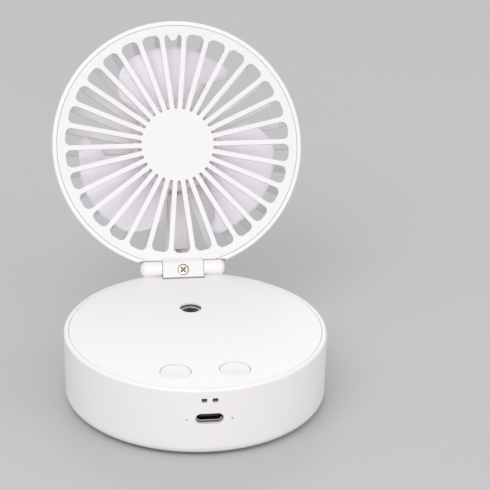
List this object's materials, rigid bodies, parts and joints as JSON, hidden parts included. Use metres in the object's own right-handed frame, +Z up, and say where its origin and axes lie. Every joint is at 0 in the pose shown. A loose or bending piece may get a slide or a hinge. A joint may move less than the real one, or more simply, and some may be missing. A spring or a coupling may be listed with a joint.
{
  "type": "folding desk fan",
  "caption": "Folding desk fan: round white base with mist outlet, two buttons and USB-C socket, and a hinged round fan head with slotted grille.",
  "frame": {"origin": "centre of the base's underside, in the plane that the foot ring stands on", "axes": "+Z up; -Y is the side with the USB-C socket; +X to the right when looking at that side; the hinge axis runs along X at the back"},
  "size_m": [0.092, 0.1468, 0.1077],
  "materials": {
    "white_abs": "satin white moulded shell",
    "white_cover": "satin white moulded cover",
    "blade_plastic": "milky lavender white, slightly see-through",
    "button_plastic": "satin white",
    "black_rubber": "matt soft ring",
    "grey_silicone": "matt soft seal",
    "screw_steel": "nickel plated, slightly worn",
    "pin_steel": "turned steel",
    "socket_steel": "folded steel shell",
    "cell_wrap": "shrink wrap",
    "board_green": "solder mask",
    "dark_plastic": "black moulded",
    "smoked_guide": "smoked clear",
    "piezo_steel": "vibrating plate, bright rim and brown middle",
    "clear_tank": "milky clear tank",
    "cotton": "compressed cotton",
    "bush_plastic": "natural acetal",
    "copper_winding": "enamelled copper",
    "core_steel": "laminated steel",
    "magnet_grey": "bonded magnet",
    "bearing_bronze": "sintered bronze",
    "lead_grey": "soft lead"
  },
  "bodies": {
    "base": {"base_shell": "white_abs", "top_deck": "white_cover", "foot_ring": "black_rubber", "base_screws": "screw_steel", "battery_cell": "cell_wrap", "main_circuit_board": "board_green", "usb_c_socket": "socket_steel", "button_switches": "dark_plastic", "indicator_leds": "clear_tank", "led_light_guides": "smoked_guide", "atomizer_disc": "piezo_steel", "atomizer_seal": "grey_silicone", "atomizer_retainer": "white_abs", "cotton_wick": "cotton", "water_tank": "clear_tank", "tank_fill_plug": "grey_silicone", "hinge_pins": "pin_steel"},
    "head": {"front_grille": "white_cover", "rear_housing": "white_abs", "tongue_screw": "screw_steel", "hinge_bushes": "bush_plastic", "stator_core": "core_steel", "stator_coils": "copper_winding", "motor_board": "board_green", "motor_bearing": "bearing_bronze", "motor_lead": "lead_grey"},
    "rotor": {"impeller": "blade_plastic", "rotor_can": "core_steel", "magnet_ring": "magnet_grey", "motor_shaft": "pin_steel", "shaft_clip": "pin_steel", "thrust_washer": "bush_plastic"},
    "power_key": {"power_button": "button_plastic", "power_switch_plunger": "dark_plastic"},
    "mist_key": {"mist_button": "button_plastic", "mist_switch_plunger": "dark_plastic"}
  },
  "joints": [
    {"name": "head_tilt", "type": "hinge", "parent": "base", "child": "head", "pos_m": [0, 0.0455, 0.0275], "axis": [1, 0, 0], "range_deg": [-30.5, 119.5]},
    {"name": "fan_spin", "type": "hinge", "parent": "head", "child": "rotor", "pos_m": [0, 0.0666, 0.06784], "axis": [0, -0.8704, 0.4924], "continuous": true},
    {"name": "power_button_press", "type": "slide", "parent": "base", "child": "power_key", "axis": [0, 0, -1], "range_m": [0, 0.0004], "stiffness_N_per_m": 600},
    {"name": "mist_button_press", "type": "slide", "parent": "base", "child": "mist_key", "axis": [0, 0, -1], "range_m": [0, 0.0004], "stiffness_N_per_m": 600}
  ]
}
